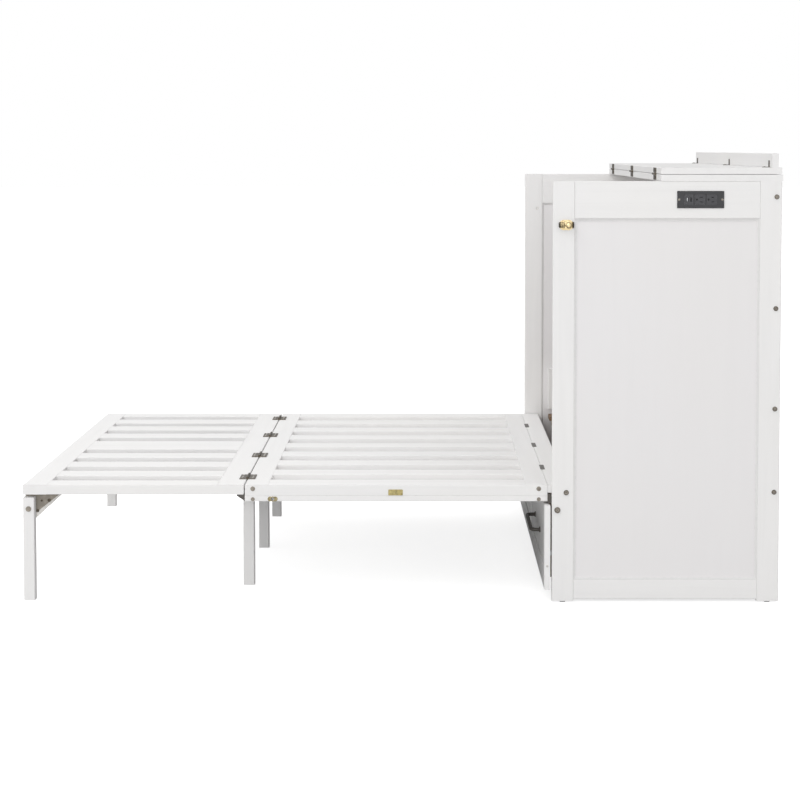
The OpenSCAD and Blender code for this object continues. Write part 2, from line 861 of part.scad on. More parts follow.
module latch_pin_right() { latch_pin(); }
module latch_pin_left() { mirror([0, 1, 0]) latch_pin(); }

// ---------------------------------------------------------------- drawing

right_side_stiles();
right_side_rails();
right_side_panel();
left_side_stiles();
left_side_rails();
left_side_panel();
glides();
back_panel();
back_rails();
rear_top();
deck_beams();
deck_slats();
deck_ledgers();
closing_stops();
drawer_runners();
outlet_plate();
outlet_sockets();
outlet_box();
outlet_screws();
pivot_bolts();
stop_bolts();
side_bolts();
latch_flanges();
lid_hinge_rear_leaves();
lid_board();
lid_lip();
lid_brackets();
lid_hinge_front_leaves();
drawer_front();
drawer_sides();
drawer_back();
drawer_bottom();
drawer_pulls();
drawer_slides();
mid_side_rails();
mid_cross_boards();
bridge_board();
mid_slats();
front_panel();
pivot_brackets();
bridge_brackets();
strike_plates();
side_plates();
mid_bolts();
mid_hinge_leaves();
mid_leg_brackets();
fold_rests();
foot_cross_boards();
foot_side_rails();
foot_slats();
foot_hinge_leaves();
foot_leg_brackets();
foot_leg_right();
foot_leg_left();
mid_leg_right();
mid_leg_centre();
mid_leg_left();
latch_pin_right();
latch_pin_left();
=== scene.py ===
"""Looks of a white cabinet bed that is opened flat, with its lid folded back.

The CAD nodes keep their shapes and get softened edges and painted, plated or moulded finishes. The
drawer pulls and latch knobs are modelled here in place of the plain ones. Screws, washers, rivets, panel
mouldings, latch spools and port tongues are added.
"""
import json
import math
from random import Random

import bmesh
import bpy
from mathutils import Matrix, Vector


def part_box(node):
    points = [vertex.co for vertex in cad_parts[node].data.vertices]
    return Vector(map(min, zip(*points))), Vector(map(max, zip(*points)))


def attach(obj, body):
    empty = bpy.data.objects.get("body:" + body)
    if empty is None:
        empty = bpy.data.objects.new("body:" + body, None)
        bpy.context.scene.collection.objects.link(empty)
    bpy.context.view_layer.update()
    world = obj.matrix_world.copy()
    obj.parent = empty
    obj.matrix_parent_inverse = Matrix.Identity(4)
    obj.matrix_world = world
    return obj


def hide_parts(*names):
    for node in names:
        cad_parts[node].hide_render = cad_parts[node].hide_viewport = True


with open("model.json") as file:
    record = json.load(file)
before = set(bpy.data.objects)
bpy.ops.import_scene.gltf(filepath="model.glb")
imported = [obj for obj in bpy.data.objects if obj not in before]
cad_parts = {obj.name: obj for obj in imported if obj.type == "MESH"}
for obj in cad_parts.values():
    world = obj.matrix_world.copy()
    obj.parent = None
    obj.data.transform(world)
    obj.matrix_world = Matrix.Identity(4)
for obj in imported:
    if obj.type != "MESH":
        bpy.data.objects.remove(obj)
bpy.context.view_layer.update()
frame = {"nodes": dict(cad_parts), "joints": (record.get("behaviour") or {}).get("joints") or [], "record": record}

NODES = frame["nodes"]
MM = 0.001
BODY = {
    node: body for body, members in frame["record"]["behaviour"]["bodies"].items() for node in members}


def joint_at(name):
    """Where a joint's axis passes."""
    return Vector(next(j for j in frame["joints"] if j["name"] == name)["pos_m"])


# ------------------------------------------------------------------ materials


class Finish:
    """A node material that is built up step by step on one Principled BSDF."""

    def __init__(self, name, rough, metal=0.0, specular=0.5):
        self.mat = bpy.data.materials.new(name)
        self.mat.use_nodes = True
        self.nodes = self.mat.node_tree.nodes
        self.links = self.mat.node_tree.links
        self.bsdf = self.nodes["Principled BSDF"]
        self.bsdf.inputs["Metallic"].default_value = metal
        self.bsdf.inputs["Roughness"].default_value = rough
        self.bsdf.inputs["Specular IOR Level"].default_value = specular
        self.coords = self.nodes.new("ShaderNodeTexCoord").outputs["Object"]
        self.height = None

    def link(self, source, target):
        self.links.new(source, target)

    def mapped(self, stretch):
        node = self.nodes.new("ShaderNodeMapping")
        node.inputs["Scale"].default_value = stretch
        self.link(self.coords, node.inputs["Vector"])
        return node.outputs["Vector"]

    def noise(self, scale, detail=3.0, stretch=(1, 1, 1), distortion=0.0):
        node = self.nodes.new("ShaderNodeTexNoise")
        node.inputs["Scale"].default_value = scale
        node.inputs["Detail"].default_value = detail
        node.inputs["Distortion"].default_value = distortion
        self.link(self.mapped(stretch), node.inputs["Vector"])
        return node.outputs["Fac"]

    def ramp(self, fac, stops):
        node = self.nodes.new("ShaderNodeValToRGB")
        band = node.color_ramp
        while len(band.elements) < len(stops):
            band.elements.new(0.5)
        for element, (place, colour) in zip(band.elements, stops):
            element.position = place
            element.color = colour if len(colour) == 4 else (*colour, 1)
        self.link(fac, node.inputs["Fac"])
        return node.outputs["Color"]

    def grey_ramp(self, fac, low, high, start=0.0, end=1.0):
        return self.ramp(fac, [(start, (low,) * 3), (end, (high,) * 3)])

    def mix(self, fac, a, b, mode="MIX"):
        """Mixed colour; fac, a and b are sockets or plain values."""
        node = self.nodes.new("ShaderNodeMix")
        node.data_type = "RGBA"
        node.blend_type = mode
        for socket, value in zip((node.inputs[0], node.inputs[6], node.inputs[7]), (fac, a, b)):
            if isinstance(value, bpy.types.NodeSocket):
                self.link(value, socket)
            elif isinstance(value, tuple):
                socket.default_value = (*value, 1)
            else:
                socket.default_value = value
        return node.outputs[2]

    def math(self, operation, a, b):
        """Result of a Math node; a and b are sockets or numbers."""
        node = self.nodes.new("ShaderNodeMath")
        node.operation = operation
        for socket, value in zip(node.inputs, (a, b)):
            if isinstance(value, bpy.types.NodeSocket):
                self.link(value, socket)
            else:
                socket.default_value = value
        return node.outputs[0]

    def edges(self, radius, sharp=0.9):
        """1 along convex and concave edges, 0 on flat faces."""
        bevel = self.nodes.new("ShaderNodeBevel")
        bevel.samples = 4
        bevel.inputs["Radius"].default_value = radius
        geometry = self.nodes.new("ShaderNodeNewGeometry")
        dot = self.nodes.new("ShaderNodeVectorMath")
        dot.operation = "DOT_PRODUCT"
        self.link(bevel.outputs["Normal"], dot.inputs[0])
        self.link(geometry.outputs["Normal"], dot.inputs[1])
        return self.grey_ramp(dot.outputs["Value"], 1.0, 0.0, sharp, 0.998)

    def colour(self, socket):
        self.link(socket, self.bsdf.inputs["Base Color"])

    def roughness(self, fac, low, high):
        self.link(self.grey_ramp(fac, low, high), self.bsdf.inputs["Roughness"])

    def bump(self, fac, strength, depth):
        node = self.nodes.new("ShaderNodeBump")
        node.inputs["Strength"].default_value = strength
        node.inputs["Distance"].default_value = depth
        self.link(fac, node.inputs["Height"])
        if self.height:
            self.link(self.height, node.inputs["Normal"])
        self.height = node.outputs["Normal"]
        self.link(self.height, self.bsdf.inputs["Normal"])


def along(axis, along_scale, across_scale):
    """Texture stretch for a grain that runs along X, Y or Z."""
    return tuple(along_scale if a == axis else across_scale for a in "XYZ")


def painted_wood(name, tone, axis, figure=1.0):
    """Satin white lacquer with a faint roller texture, the grain just showing and greyer worn edges."""
    f = Finish(name, rough=0.42, specular=0.42)
    grain = f.noise(1.0, detail=6, stretch=along(axis, 2.2, 46), distortion=0.6)
    clouds = f.noise(2.1, detail=2)
    roller = f.noise(620, detail=2)
    shade = tuple(c * (1 - 0.03 * figure) for c in tone)
    warm = (tone[0], tone[1] * 0.994, tone[2] * 0.975)
    base = f.mix(f.grey_ramp(grain, 0, 1, 0.42, 0.66), tone, shade)
    base = f.mix(f.grey_ramp(clouds, 0, 0.55, 0.35, 0.75), base, warm)
    scuffs = f.grey_ramp(f.noise(85, detail=5), 0, 0.6, 0.5, 0.72)
    worn = f.math("MULTIPLY", f.edges(1.4 * MM), scuffs)
    base = f.mix(worn, base, tuple(c * 0.74 for c in tone))
    f.colour(base)
    f.roughness(f.noise(14, detail=4), 0.34, 0.5)
    f.bump(grain, 0.10 * figure, 0.4 * MM)
    f.bump(roller, 0.10, 0.12 * MM)
    return f.mat


def plywood(name, axis):
    """Brown varnished plywood with long figure."""
    f = Finish(name, rough=0.5, specular=0.35)
    figure = f.noise(1.0, detail=8, stretch=along(axis, 3, 60), distortion=1.2)
    fine = f.noise(1.0, detail=4, stretch=along(axis, 30, 900))
    base = f.ramp(figure, [
        (0.30, (0.135, 0.078, 0.042)), (0.48, (0.235, 0.145, 0.082)), (0.70, (0.34, 0.225, 0.135))])
    pores = f.grey_ramp(fine, 0.62, 1.0, 0.36, 0.55)
    base = f.mix(1.0, base, pores, "MULTIPLY")
    worn = f.math("MULTIPLY", f.edges(1.2 * MM), 0.45)
    f.colour(f.mix(worn, base, (0.42, 0.30, 0.19)))
    f.roughness(figure, 0.4, 0.62)
    f.bump(fine, 0.22, 0.3 * MM)
    return f.mat


def plated(name, tone, dark, light, rough, axis="Y", wear=0.6):
    """Plated or bare metal: brushed one way, stained in patches and rubbed bright along its edges."""
    f = Finish(name, rough=rough, metal=1.0)
    brushed = f.noise(1.0, detail=4, stretch=along(axis, 60, 2400))
    stains = f.noise(130, detail=6, distortion=0.4)
    base = f.mix(f.grey_ramp(stains, 0, 0.85, 0.45, 0.72), tone, dark)
    base = f.mix(f.grey_ramp(brushed, 0, 0.35, 0.4, 0.7), base, light)
    rubbed = f.math("MULTIPLY", f.edges(0.7 * MM), wear)
    f.colour(f.mix(rubbed, base, light))
    f.roughness(stains, rough * 0.75, min(rough * 1.5, 0.9))
    f.bump(brushed, 0.12, 0.08 * MM)
    f.bump(stains, 0.08, 0.15 * MM)
    return f.mat


def painted_steel(name, tone, chip):
    """Dark paint on pressed steel: orange peel, dust and chipped edges."""
    f = Finish(name, rough=0.45, metal=0.15, specular=0.5)
    peel = f.noise(900, detail=2)
    dust = f.noise(60, detail=5)
    base = f.mix(f.grey_ramp(dust, 0, 0.6, 0.48, 0.8), tone, tuple(c * 1.9 + 0.01 for c in tone))
    patches = f.grey_ramp(f.noise(260, detail=4), 0, 1, 0.45, 0.6)
    chips = f.math("MULTIPLY", f.edges(0.9 * MM), patches)
    f.colour(f.mix(chips, base, chip))
    f.roughness(dust, 0.36, 0.62)
    f.bump(peel, 0.16, 0.12 * MM)
    return f.mat


def moulded_plastic(name, tone, rough, painted_shade_from=None):
    """Spark-eroded plastic with a fine grain and a little dust; beyond a given depth along Y it is painted
    near-black, as painted shade inside holes.
    """
    f = Finish(name, rough=rough, specular=0.45)
    grain = f.noise(2300, detail=2)
    dust = f.noise(45, detail=5)
    base = f.mix(f.grey_ramp(dust, 0, 0.5, 0.5, 0.85), tone, tuple(c * 1.5 + 0.012 for c in tone))
    base = f.mix(f.math("MULTIPLY", f.edges(0.6 * MM), 0.5), base, tuple(c * 2.2 + 0.02 for c in tone))
    # Painted shade: everything beyond the given depth along Y is painted near-black
    if painted_shade_from is not None:
        split = f.nodes.new("ShaderNodeSeparateXYZ")
        f.link(f.coords, split.inputs["Vector"])
        painted_shade_deep = f.math("GREATER_THAN", split.outputs["Y"], painted_shade_from)
        base = f.mix(painted_shade_deep, base, (0.002, 0.002, 0.002))
    f.colour(base)
    f.roughness(dust, rough * 0.85, rough * 1.2)
    f.bump(grain, 0.25, 0.08 * MM)
    return f.mat


WHITE = (0.80, 0.793, 0.79)
PANEL = (0.765, 0.752, 0.756)

paint = {a: painted_wood(f"white_paint_{a.lower()}", WHITE, a) for a in "XYZ"}
panel_paint = painted_wood("white_panel", PANEL, "Z", figure=0.3)
# The mouldings' paint is a tenth darker than the frame's: painted shade for the dark line round the inset panels
shaded_moulding_paint = painted_wood("white_moulding_painted_shade", tuple(0.9 * c for c in WHITE), "Z", figure=0.3)
ply = {a: plywood(f"brown_ply_{a.lower()}", a) for a in "XY"}
bolt_steel = plated("bolt_steel", (0.20, 0.18, 0.155), (0.07, 0.055, 0.04), (0.55, 0.52, 0.47), 0.34)
screw_steel = plated("screw_steel", (0.50, 0.48, 0.45), (0.28, 0.25, 0.22), (0.80, 0.78, 0.74), 0.3)
strike_bronze = plated(
    "strike_bronze", (0.25, 0.21, 0.115), (0.08, 0.062, 0.03), (0.55, 0.48, 0.30), 0.34, "X")
runner_steel = plated("runner_zinc", (0.52, 0.53, 0.54), (0.34, 0.34, 0.35), (0.74, 0.74, 0.75), 0.3, "X")
plate_brass = plated(
    "side_plate_brass", (0.36, 0.30, 0.13), (0.09, 0.075, 0.035), (0.66, 0.58, 0.32), 0.32, "X")
bronze = plated("hinge_bronze", (0.060, 0.050, 0.040), (0.022, 0.018, 0.014), (0.30, 0.26, 0.20), 0.4)
dark_steel = painted_steel("bracket_steel", (0.075, 0.068, 0.06), (0.42, 0.38, 0.33))
brown_steel = painted_steel("leg_bracket_steel", (0.235, 0.21, 0.175), (0.52, 0.48, 0.42))
aged_brass = plated("aged_brass", (0.50, 0.395, 0.215), (0.14, 0.095, 0.045), (0.86, 0.76, 0.54), 0.34, "X")
pale_steel = painted_steel("leg_bracket_edge", (0.56, 0.545, 0.52), (0.40, 0.36, 0.30))
black_plastic = moulded_plastic("outlet_black", (0.028, 0.028, 0.031), 0.42)
SOCKET_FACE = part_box("outlet_sockets")[0][1]
# The sockets' holes are painted near-black from 1 mm behind their face: painted shade inside the holes
socket_plastic_painted_shade = moulded_plastic("socket_charcoal_painted_shade", (0.045, 0.045, 0.05), 0.34, SOCKET_FACE + 1.0 * MM)
port_plastic = moulded_plastic("usb_port_white", (0.62, 0.63, 0.65), 0.3)
glide_plastic = moulded_plastic("glide_grey", (0.22, 0.22, 0.22), 0.5)

NODE_FINISH = {
    **{n: paint["X"] for n in (
        "right_side_rails", "left_side_rails", "mid_side_rails", "mid_slats", "front_panel",
        "foot_side_rails", "foot_slats")},
    **{n: paint["Y"] for n in (
        "back_rails", "rear_top", "lid_board", "lid_lip", "drawer_front", "mid_cross_boards",
        "bridge_board", "foot_cross_boards", "back_panel")},
    **{n: paint["Z"] for n in (
        "right_side_stiles", "left_side_stiles", "closing_stops", "foot_leg_right", "foot_leg_left",
        "mid_leg_right", "mid_leg_centre", "mid_leg_left")},
    **{n: panel_paint for n in ("right_side_panel", "left_side_panel")},
    **{n: ply["X"] for n in ("drawer_sides", "deck_ledgers", "deck_slats")},
    **{n: ply["Y"] for n in ("deck_beams", "drawer_back", "drawer_bottom")},
    **{n: bolt_steel for n in ("pivot_bolts", "stop_bolts", "side_bolts", "mid_bolts", "outlet_screws")},
    **{n: runner_steel for n in ("drawer_runners", "drawer_slides")},
    **{n: aged_brass for n in ("latch_flanges", "latch_pin_right", "latch_pin_left")},
    "strike_plates": strike_bronze,
    "side_plates": plate_brass,
    **{n: bronze for n in (
        "lid_hinge_rear_leaves", "lid_hinge_front_leaves", "mid_hinge_leaves", "foot_hinge_leaves")},
    **{n: dark_steel for n in (
        "lid_brackets", "pivot_brackets", "bridge_brackets", "fold_rests", "drawer_pulls")},
    **{n: brown_steel for n in ("mid_leg_brackets", "foot_leg_brackets")},
    **{n: black_plastic for n in ("outlet_plate", "outlet_box")},
    "outlet_sockets": socket_plastic_painted_shade,
    "glides": glide_plastic,
}

WOODEN = {m.name for m in (*paint.values(), panel_paint, *ply.values())}
WOOD_SOFTENING = 0.8 * MM
METAL_SOFTENING = 0.25 * MM

for name, obj in NODES.items():
    finish = NODE_FINISH[name]
    obj.data.materials.clear()
    obj.data.materials.append(finish)
    soft = obj.modifiers.new("soft_edges", "BEVEL")
    soft.width = WOOD_SOFTENING if finish.name in WOODEN else METAL_SOFTENING
    soft.segments = 2
    soft.limit_method = "ANGLE"
    soft.angle_limit = math.radians(35)
    soft.use_clamp_overlap = True

# ------------------------------------------------------------------ pieces


def piece(name, bm, finish, body, smooth_angle=35):
    """The bmesh as an object that rides on a body."""
    mesh = bpy.data.meshes.new(name)
    bmesh.ops.recalc_face_normals(bm, faces=bm.faces)
    bm.to_mesh(mesh)
    bm.free()
    obj = bpy.data.objects.new(name, mesh)
    bpy.context.scene.collection.objects.link(obj)
    mesh.materials.append(finish)
    for polygon in mesh.polygons:
        polygon.use_smooth = True
    mesh.set_sharp_from_angle(angle=math.radians(smooth_angle))
    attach(obj, body)
    return obj


def turns(count):
    """Angles of count even steps round a circle."""
    return [2 * math.pi * i / count for i in range(count)]


def circle(bm, place, radius, height, segments):
    """Ring of vertices round the local Z axis; a zero radius gives the one point on the axis."""
    if radius < 1e-7:
        return [bm.verts.new(place @ Vector((0, 0, height)))]
    return [
        bm.verts.new(place @ Vector((radius * math.cos(t), radius * math.sin(t), height)))
        for t in turns(segments)]


def skin(bm, rings, closed=False):
    """Faces between neighbouring rings; closed also joins the last ring to the first."""
    for low, high in zip(rings, rings[1:] + rings[:1] if closed else rings[1:]):
        count = max(len(low), len(high))
        for i in range(count):
            j = i + 1
            corners = low[i % len(low)], low[j % len(low)], high[j % len(high)], high[i % len(high)]
            bm.faces.new(list(dict.fromkeys(corners)))


def lathe(bm, outline, place, segments):
    """Turns (radius, height) points in mm round the local Z axis; the outline starts and ends on it."""
    skin(bm, [circle(bm, place, radius * MM, height * MM, segments) for radius, height in outline])


def rounded(r0, h0, r1, h1, steps):
    """Quarter-round outline points from (r0, h0) to (r1, h1), bulging outwards."""
    for i in range(steps + 1):
        a = math.pi / 2 * i / steps
        yield (r1 + (r0 - r1) * math.cos(a), h0 + (h1 - h0) * math.sin(a))


def facing(direction, at, twist=0.0):
    """Matrix that puts local +Z along direction at a point."""
    turn = Vector(direction).to_track_quat("Z", "Y").to_matrix().to_4x4()
    return Matrix.Translation(at) @ turn @ Matrix.Rotation(twist, 4, "Z")


def cross_screw(bm, place, radius, rise):
    """Low domed screw head with a cross recess, sunk a little into its plate."""
    arm, half = radius * 0.58, radius * 0.14
    floor = -rise * 0.2
    outline = [(half, -half), (arm, -half), (arm, half), (half, half)]
    recess = []
    for quarter in range(4):
        turn = Matrix.Rotation(quarter * math.pi / 2, 2)
        recess += [turn @ Vector(p) for p in outline[:3]]
    segments = 24
    dome = ((radius, -rise * 0.5), (radius, rise * 0.25), (radius * 0.86, rise * 0.8))
    rings = [circle(bm, place, r, h, segments) for r, h in dome]
    skin(bm, rings)
    bm.faces.new(list(reversed(rings[0])))
    top, low = ([bm.verts.new(place @ Vector((p.x, p.y, h))) for p in recess] for h in (rise, floor))
    skin(bm, [top, low])
    bm.faces.new(low)
    edges = [
        bm.edges.get((loop[i - 1], loop[i])) for loop in (rings[-1], top) for i in range(len(loop))]
    bmesh.ops.bridge_loops(bm, edges=edges)


def screws(name, finish, body, places, radius, rise, seed):
    """One object with a cross-headed screw at each (point, direction); radius and rise are in mm."""
    bm = bmesh.new()
    random = Random(seed)
    for point, direction in places:
        place = facing(direction, point, random.uniform(0, math.pi / 2))
        cross_screw(bm, place, radius * MM, rise * MM)
    piece(name, bm, finish, body, 25)


def islands(node):
    """Boxes (low, high) of a node's separate solids, in order of X, Y, Z."""
    bm = bmesh.new()
    bm.from_mesh(NODES[node].data)
    bmesh.ops.remove_doubles(bm, verts=bm.verts, dist=1e-6)
    left = set(bm.verts)
    found = []
    while left:
        stack, group = [left.pop()], []
        while stack:
            v = stack.pop()
            group.append(v.co.copy())
            for e in v.link_edges:
                other = e.other_vert(v)
                if other in left:
                    left.remove(other)
                    stack.append(other)
        lo = Vector(min(c[i] for c in group) for i in range(3))
        hi = Vector(max(c[i] for c in group) for i in range(3))
        found.append((lo, hi))
    bm.free()
    return sorted(found, key=lambda b: tuple(round(c, 4) for c in b[0]))


# Screws of the fold hinges: three in each leaf, on the leaf's upper face
fold_x = joint_at("foot_fold").x
for node, side in (("mid_hinge_leaves", 1), ("foot_hinge_leaves", -1)):
    spots = []
    for lo, hi in islands(node):
        y = (lo.y + hi.y) / 2
        x = fold_x + side * 14.5 * MM
        spots += [((x, y + dy * MM, lo.z + 2.0 * MM), (0, 0, 1)) for dy in (-26, 0, 26)]
    screws(node.replace("leaves", "screws"), screw_steel, BODY[node], spots, 3.1, 0.9, seed=3)

# Screws of the lid's hinges, on the leaves' front faces
for node in ("lid_hinge_rear_leaves", "lid_hinge_front_leaves"):
    spots = []
    for lo, hi in islands(node):
        y = (lo.y + hi.y) / 2
        z = lo.z + 7 * MM if "rear" in node else hi.z - 7 * MM
        x = hi.x - 1.5 * MM
        spots += [((x, y + dy * MM, z), (-1, 0, 0)) for dy in (-22, 22)]
    screws(node.replace("leaves", "screws"), bronze, BODY[node], spots, 2.8, 0.7, seed=5)

# Screws in the bridge brackets and under the leg brackets' flanges
spots = []
for lo, hi in islands("bridge_brackets"):
    y = (lo.y + hi.y) / 2
    spots += [((hi.x - 16 * MM, y + dy * MM, lo.z), (0, 0, -1)) for dy in (-28, 28)]
screws("bridge_screws", bolt_steel, "bed_middle", spots, 3.6, 1.2, seed=7)

for node, body in (("mid_leg_brackets", "bed_middle"), ("foot_leg_brackets", "bed_foot")):
    spots = []
    for lo, hi in islands(node):
        outward = 1 if "mid" in node or hi.y < 0 else -1
        far = hi.y if outward > 0 else lo.y
        for x in (lo.x + 0.35 * (hi.x - lo.x), hi.x - 14 * MM):
            spots.append(((x, far - outward * 10 * MM, hi.z - 3 * MM), (0, 0, -1)))
    screws(node.replace("brackets", "screws"), bolt_steel, body, spots, 3.6, 1.2, seed=9)

# Screws of the small brackets inside the lid's lip
spots = []
for lo, hi in islands("lid_brackets"):
    y = (lo.y + hi.y) / 2
    spots.append(((hi.x - 1.8 * MM, y, hi.z - 6 * MM), (-1, 0, 0)))
    spots.append(((lo.x + 6 * MM, y, lo.z + 1.8 * MM), (0, 0, 1)))
screws("lid_bracket_screws", bolt_steel, "lid", spots, 2.8, 1.0, seed=11)

# Screws of the strikes and side plates
for node, finish, reach, size in (
        ("strike_plates", strike_bronze, 10.2, 1.9), ("side_plates", plate_brass, 15, 2.6)):
    lo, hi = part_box(node)
    x, z = (lo[0] + hi[0]) / 2, (lo[2] + hi[2]) / 2
    spots = []
    for side, y in ((-1, lo[1]), (1, hi[1])):
        spots += [((x + dx * reach * MM, y, z), (0, side, 0)) for dx in (-1, 1)]
    screws(node + "_screws", finish, BODY[node], spots, size, 0.6, seed=13)


def latch_pin(node):
    """Turned pin with a waisted collar and a knurled, domed knob, in place of the plain one."""
    lo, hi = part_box(node)
    side = -1 if lo[1] < 0 else 1
    outer, inner = (lo[1], hi[1]) if side < 0 else (hi[1], lo[1])
    place = facing((0, side, 0), ((lo[0] + hi[0]) / 2, inner, (lo[2] + hi[2]) / 2))
    radius, tip, knob = 4, 4, 8.5
    top = abs(outer - inner) / MM
    base = top - knob
    outline = [
        (0, tip), (radius, tip), (radius, base), (6.5, base), (6.5, base + 1.4), (5.2, base + 1.8),
        (5.2, base + 2.2), (8.0, base + 2.6)]
    for ridge in range(4):
        h = base + 2.9 + ridge * 0.9
        outline += [(8.5, h), (8.5, h + 0.5), (8.1, h + 0.7)]
    outline += [*rounded(8.4, base + 6.6, 3.0, top, 6), (0, top)]
    bm = bmesh.new()
    lathe(bm, outline, place, 48)
    obj = piece(node.replace("pin", "knob"), bm, aged_brass, BODY[node], 30)
    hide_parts(node)
    bm = bmesh.new()
    lathe(bm, [(0, 0), (radius - 1.2, 0), (radius, 1.2), (radius, tip), (0, tip)], place, 32)
    piece(node.replace("pin", "tip"), bm, paint["Z"], BODY[node], 30)


for node in ("latch_pin_right", "latch_pin_left"):
    latch_pin(node)


PULL_OFFSET = 400 * MM


def drawer_pull(bm, y, box):
    """A bar pull bent from one round rod: two legs with flanged feet and a straight grip."""
    lo, hi = box
    z = (lo[2] + hi[2]) / 2
    bar, bend, steps = 5.2 * MM, 14 * MM, 6
    half = (hi[1] - lo[1]) / 2 - PULL_OFFSET - bend
    grip_x, foot_x = lo[0] + 6 * MM, hi[0]
    path = [Vector((foot_x, y - half, z))]
    for i in range(steps + 1):
        a = math.pi / 2 * i / steps
        path.append(Vector((grip_x + bend * (1 - math.sin(a)), y - half + bend * (1 - math.cos(a)), z)))
    path += [Vector((p.x, 2 * y - p.y, z)) for p in reversed(path)]
    up = Vector((0, 0, 1))
    rings = []
    for i, point in enumerate(path):
        out = (path[min(i + 1, len(path) - 1)] - path[max(i - 1, 0)]).normalized().cross(up)
        rings.append([
            bm.verts.new(point + bar * (math.cos(t) * out + math.sin(t) * up)) for t in turns(20)])
    skin(bm, rings)
    bm.faces.new(list(reversed(rings[0])))
    bm.faces.new(rings[-1])
    foot = [(0, 0), (8.5, 0), (8.5, 1.2), *rounded(8.2, 1.6, 5.4, 3.6, 4), (0, 3.6)]
    for end in (-half, half):
        lathe(bm, foot, facing((-1, 0, 0), (foot_x, y + end, z)), 28)


pulls = bmesh.new()
for side in (-1, 1):
    drawer_pull(pulls, side * PULL_OFFSET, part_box("drawer_pulls"))
pull_obj = piece("drawer_bar_pulls", pulls, dark_steel, "drawer", 40)
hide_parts("drawer_pulls")

# Tongues inside the two USB ports, a pale one and a black one
usb_lo, usb_hi = islands("outlet_sockets")[0]
for name, dx, finish in (("pale", -4.8, port_plastic), ("black", 5.2, black_plastic)):
    x0 = (usb_lo.x + usb_hi.x) / 2 + dx * MM
    lo = Vector((x0, usb_lo.y + 1.2 * MM, (usb_lo.z + usb_hi.z) / 2 - 5 * MM))
    size = Vector((2.0 * MM, 11.4 * MM, 10 * MM))
    tongue = bmesh.new()
    bmesh.ops.create_cube(tongue, size=1)
    bmesh.ops.scale(tongue, vec=size, verts=tongue.verts)
    bmesh.ops.translate(tongue, vec=lo + size / 2, verts=tongue.verts)
    bmesh.ops.bevel(tongue, geom=list(tongue.edges), offset=0.4 * MM, segments=2, affect="EDGES")
    piece(f"usb_tongue_{name}", tongue, finish, "cabinet")

# Screws in the side edges of the drawer front
lo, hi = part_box("drawer_front")
x, z = (lo[0] + hi[0]) / 2, lo[2] + 66 * MM
spots = [((x, lo[1], z), (0, -1, 0)), ((x, hi[1], z), (0, 1, 0))]
screws("drawer_front_screws", screw_steel, "drawer", spots, 3.0, 0.8, seed=15)


def moulding(bm, corner, wide, tall, out, width, depth):
    """Mitred bevel strip round an opening in the XZ plane, with a fine groove outside the bevel.

    corner is the opening's lowest corner, out is -1 or 1 along Y, and depth reaches the panel.
    """
    profile = (
        (0, 1.8 * MM), (0.9 * MM, 1.8 * MM), (1.2 * MM, 0.2 * MM), (width, depth * 0.92), (width, depth),
        (0, depth))
    rings = []
    for inset, sink in profile:
        rings.append([
            bm.verts.new(corner + Vector((a + da * inset, -out * sink, b + db * inset)))
            for a, b, da, db in ((0, 0, 1, 1), (wide, 0, -1, 1), (wide, tall, -1, -1), (0, tall, 1, -1))])
    skin(bm, rings, closed=True)


def side_mouldings(side):
    """Bevel strips round the inset panel on both faces of one side frame."""
    panel_lo, panel_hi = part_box(f"{side}_side_panel")
    frame_lo, frame_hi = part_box(f"{side}_side_stiles")
    bm = bmesh.new()
    wide, tall = panel_hi[0] - panel_lo[0], panel_hi[2] - panel_lo[2]
    for out, face, panel_face in ((-1, frame_lo[1], panel_lo[1]), (1, frame_hi[1], panel_hi[1])):
        depth = abs(face - panel_face) - 0.1 * MM
        corner = Vector((panel_lo[0], face - out * 0.3 * MM, panel_lo[2]))
        moulding(bm, corner, wide, tall, out, 5 * MM, depth)
    # The darker paint on these mouldings is painted shade
    piece(f"{side}_panel_moulding", bm, shaded_moulding_paint, "cabinet", 20)


for side in ("right", "left"):
    side_mouldings(side)

# Pale bevelled edge of each foot leg's gusset, on the face towards the leg
GUSSET_FACE = 743.4 * MM
pivot = joint_at("foot_leg_right_fold")
bm = bmesh.new()
for lo, hi in islands("foot_leg_brackets"):
    side = -1 if hi.y < 0 else 1
    low, high = Vector((pivot.x + 16 * MM, 0, pivot.z - 30 * MM)), Vector((hi.x, 0, hi.z - 2 * MM))
    run = (high - low).normalized()
    rise = Vector((-run.z, 0, run.x))
    band, half_thick = 12 * MM, 0.35 * MM
    outline = [low, high, high + rise * band * 0.35 - run * 6 * MM, low + rise * band]
    front, back = (
        [bm.verts.new(Vector((p.x, side * (GUSSET_FACE + dy), p.z))) for p in outline]
        for dy in (half_thick, -half_thick))
    bm.faces.new(front)
    bm.faces.new(list(reversed(back)))
    skin(bm, [front, back])
piece("foot_gusset_edges", bm, pale_steel, "bed_foot", 30)

# Flush black rivets in the gusset: (from the leg's bolt along X, above the bolt, radius)
bm = bmesh.new()
for side in (-1, 1):
    for dx, dz, radius in ((20, -10, 4.5), (31, 18, 3.2), (52, 19, 5.0)):
        at = (pivot.x + dx * MM, side * GUSSET_FACE, pivot.z + dz * MM)
        outline = [(0, -0.2), (radius, -0.2), (radius, 0.34), (radius * 0.6, 0.48), (0, 0.5)]
        lathe(bm, outline, facing((0, side, 0), at), 24)
piece("foot_gusset_rivets", bm, bronze, "bed_foot", 30)


